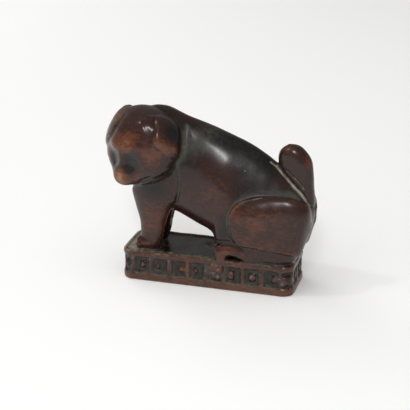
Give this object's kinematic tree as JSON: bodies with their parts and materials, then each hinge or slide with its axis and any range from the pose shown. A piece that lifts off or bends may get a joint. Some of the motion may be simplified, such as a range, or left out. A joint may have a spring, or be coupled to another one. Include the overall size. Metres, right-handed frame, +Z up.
{
  "type": "carved puppy netsuke",
  "caption": "Small carved boxwood toggle: a seated puppy looking down to one side, on a rectangular plinth with a studded frieze.",
  "frame": {"origin": "middle of the plinth's flat underside", "axes": "+X along the plinth to the puppy's tail, +Z up, -Y to the side that the puppy looks out on"},
  "size_m": [0.0403, 0.0162, 0.0345],
  "materials": {
    "stained_boxwood": "old stained and hand-polished boxwood, glossy, worn lighter on the high parts, with grey dust in the carving"
  },
  "bodies": {
    "root": {"puppy_netsuke": "stained_boxwood"}
  },
  "joints": []
}
